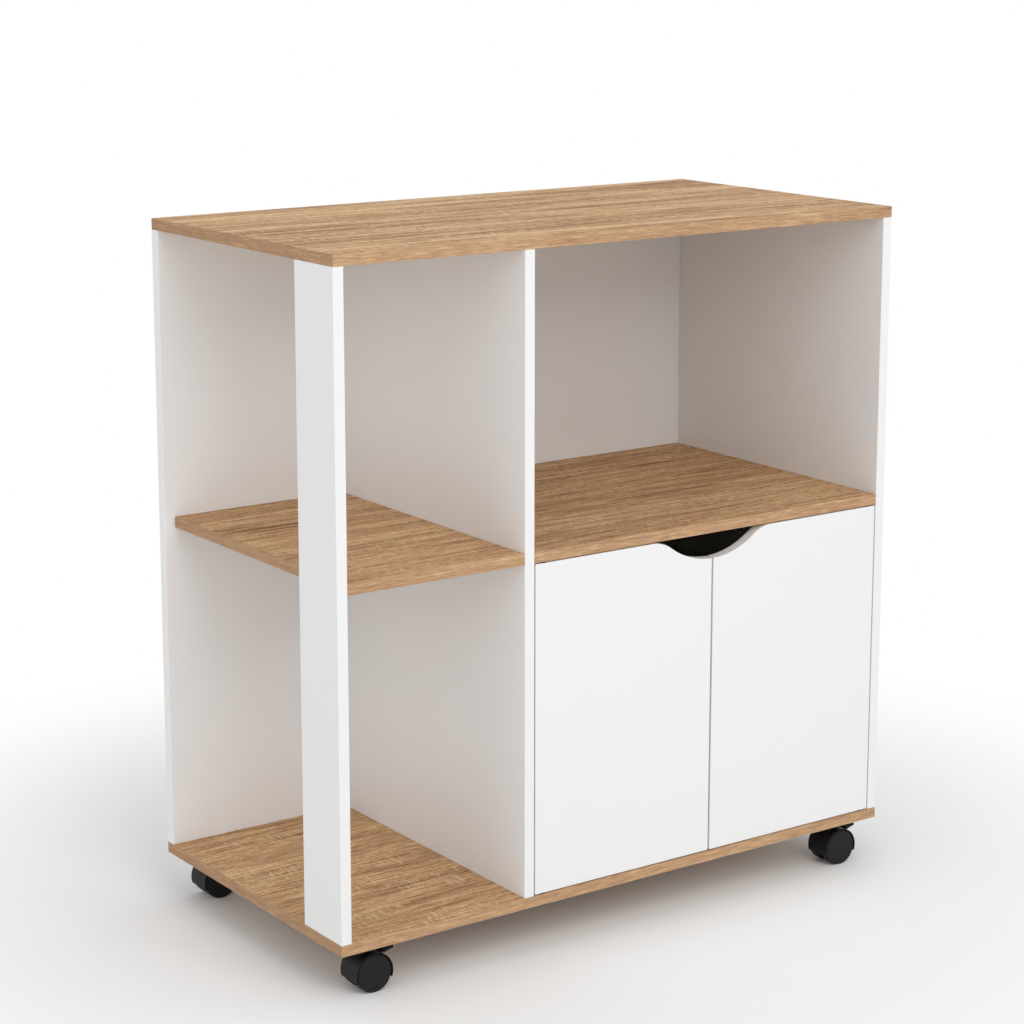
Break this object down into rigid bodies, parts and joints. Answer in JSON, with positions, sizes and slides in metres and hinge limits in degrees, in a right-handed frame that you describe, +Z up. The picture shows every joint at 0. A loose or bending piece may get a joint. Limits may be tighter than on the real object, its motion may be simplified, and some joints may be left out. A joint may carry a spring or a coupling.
{
  "type": "kitchen cart",
  "caption": "Kitchen cart on swivel casters with a wood-decor worktop and shelves, an open shelf bay, a wide open bay and a cupboard with inset doors and a finger scoop.",
  "frame": {"origin": "middle of the footprint on the floor", "axes": "+X to the right seen from the front, +Y to the back, +Z up"},
  "size_m": [0.9, 0.46, 0.95],
  "materials": {
    "wood_decor_board": "warm oak-decor foil on particleboard, matt, grain along the width",
    "white_board": "white melamine on particleboard, fine satin",
    "steel": "zinc-plated steel",
    "zinc": "die-cast zinc, dull",
    "caster_metal": "black-coated pressed steel",
    "black_plastic": "black nylon, slightly glossy",
    "wheel_plastic": "hard black nylon wheels, slightly glossy",
    "white_plastic": "white moulded plastic",
    "ferrite": "dark grey ferrite magnet",
    "beech": "plain beech dowel"
  },
  "bodies": {
    "carcass": {"worktop": "wood_decor_board", "bottom_panel": "wood_decor_board", "left_shelf": "wood_decor_board", "right_shelf": "wood_decor_board", "back_panel": "white_board", "right_side_panel": "white_board", "divider_panel": "white_board", "corner_post": "white_board", "pivot_bushings": "black_plastic", "catch_housing": "white_plastic", "catch_magnets": "ferrite", "catch_screws": "steel", "cam_discs": "zinc", "cam_bolts": "steel", "double_cam_bolts": "steel", "wooden_dowels": "beech", "bottom_screws": "steel", "back_screws": "steel", "caster_screws": "steel", "front_left_plate": "caster_metal", "front_left_swivel_pin": "steel", "front_right_plate": "caster_metal", "front_right_swivel_pin": "steel", "back_left_plate": "caster_metal", "back_left_swivel_pin": "steel", "back_right_plate": "caster_metal", "back_right_swivel_pin": "steel"},
    "left_door_leaf": {"left_door": "white_board", "left_door_pivot_pins": "steel", "left_strike_plate": "steel", "left_strike_screw": "steel"},
    "right_door_leaf": {"right_door": "white_board", "right_door_pivot_pins": "steel", "right_strike_plate": "steel", "right_strike_screw": "steel"},
    "front_left_caster": {"front_left_hood": "black_plastic", "front_left_axle": "steel", "front_left_lever_pin": "steel"},
    "front_left_outer_wheel_roller": {"front_left_outer_wheel": "wheel_plastic"},
    "front_left_inner_wheel_roller": {"front_left_inner_wheel": "wheel_plastic"},
    "front_left_brake_pedal": {"front_left_brake_lever": "black_plastic"},
    "front_right_caster": {"front_right_hood": "black_plastic", "front_right_axle": "steel", "front_right_lever_pin": "steel"},
    "front_right_outer_wheel_roller": {"front_right_outer_wheel": "wheel_plastic"},
    "front_right_inner_wheel_roller": {"front_right_inner_wheel": "wheel_plastic"},
    "front_right_brake_pedal": {"front_right_brake_lever": "black_plastic"},
    "back_left_caster": {"back_left_hood": "black_plastic", "back_left_axle": "steel"},
    "back_left_outer_wheel_roller": {"back_left_outer_wheel": "wheel_plastic"},
    "back_left_inner_wheel_roller": {"back_left_inner_wheel": "wheel_plastic"},
    "back_right_caster": {"back_right_hood": "black_plastic", "back_right_axle": "steel"},
    "back_right_outer_wheel_roller": {"back_right_outer_wheel": "wheel_plastic"},
    "back_right_inner_wheel_roller": {"back_right_inner_wheel": "wheel_plastic"}
  },
  "joints": [
    {"name": "left_door_hinge", "type": "hinge", "parent": "carcass", "child": "left_door_leaf", "pos_m": [-0.14, -0.2235, 0.3], "axis": [0, 0, -1], "range_deg": [0, 110]},
    {"name": "right_door_hinge", "type": "hinge", "parent": "carcass", "child": "right_door_leaf", "pos_m": [0.42, -0.2235, 0.3], "axis": [0, 0, 1], "range_deg": [0, 110]},
    {"name": "front_left_swivel", "type": "hinge", "parent": "carcass", "child": "front_left_caster", "pos_m": [-0.396, -0.192, 0.05], "axis": [0, 0, 1], "continuous": true},
    {"name": "front_left_outer_wheel_spin", "type": "hinge", "parent": "front_left_caster", "child": "front_left_outer_wheel_roller", "pos_m": [-0.39, -0.205, 0.025], "axis": [0, 1, 0], "continuous": true},
    {"name": "front_left_inner_wheel_spin", "type": "hinge", "parent": "front_left_caster", "child": "front_left_inner_wheel_roller", "pos_m": [-0.39, -0.179, 0.025], "axis": [0, 1, 0], "continuous": true},
    {"name": "front_left_brake", "type": "hinge", "parent": "front_left_caster", "child": "front_left_brake_pedal", "pos_m": [-0.37888, -0.192, 0.03692], "axis": [0, 1, 0], "range_deg": [0, 12]},
    {"name": "front_right_swivel", "type": "hinge", "parent": "carcass", "child": "front_right_caster", "pos_m": [0.396, -0.192, 0.05], "axis": [0, 0, 1], "continuous": true},
    {"name": "front_right_outer_wheel_spin", "type": "hinge", "parent": "front_right_caster", "child": "front_right_outer_wheel_roller", "pos_m": [0.402, -0.205, 0.025], "axis": [0, 1, 0], "continuous": true},
    {"name": "front_right_inner_wheel_spin", "type": "hinge", "parent": "front_right_caster", "child": "front_right_inner_wheel_roller", "pos_m": [0.402, -0.179, 0.025], "axis": [0, 1, 0], "continuous": true},
    {"name": "front_right_brake", "type": "hinge", "parent": "front_right_caster", "child": "front_right_brake_pedal", "pos_m": [0.41312, -0.192, 0.03692], "axis": [0, 1, 0], "range_deg": [0, 12]},
    {"name": "back_left_swivel", "type": "hinge", "parent": "carcass", "child": "back_left_caster", "pos_m": [-0.396, 0.206, 0.05], "axis": [0, 0, 1], "continuous": true},
    {"name": "back_left_outer_wheel_spin", "type": "hinge", "parent": "back_left_caster", "child": "back_left_outer_wheel_roller", "pos_m": [-0.39, 0.219, 0.025], "axis": [0, 1, 0], "continuous": true},
    {"name": "back_left_inner_wheel_spin", "type": "hinge", "parent": "back_left_caster", "child": "back_left_inner_wheel_roller", "pos_m": [-0.39, 0.193, 0.025], "axis": [0, 1, 0], "continuous": true},
    {"name": "back_right_swivel", "type": "hinge", "parent": "carcass", "child": "back_right_caster", "pos_m": [0.396, 0.206, 0.05], "axis": [0, 0, 1], "continuous": true},
    {"name": "back_right_outer_wheel_spin", "type": "hinge", "parent": "back_right_caster", "child": "back_right_outer_wheel_roller", "pos_m": [0.402, 0.219, 0.025], "axis": [0, 1, 0], "continuous": true},
    {"name": "back_right_inner_wheel_spin", "type": "hinge", "parent": "back_right_caster", "child": "back_right_inner_wheel_roller", "pos_m": [0.402, 0.193, 0.025], "axis": [0, 1, 0], "continuous": true}
  ]
}
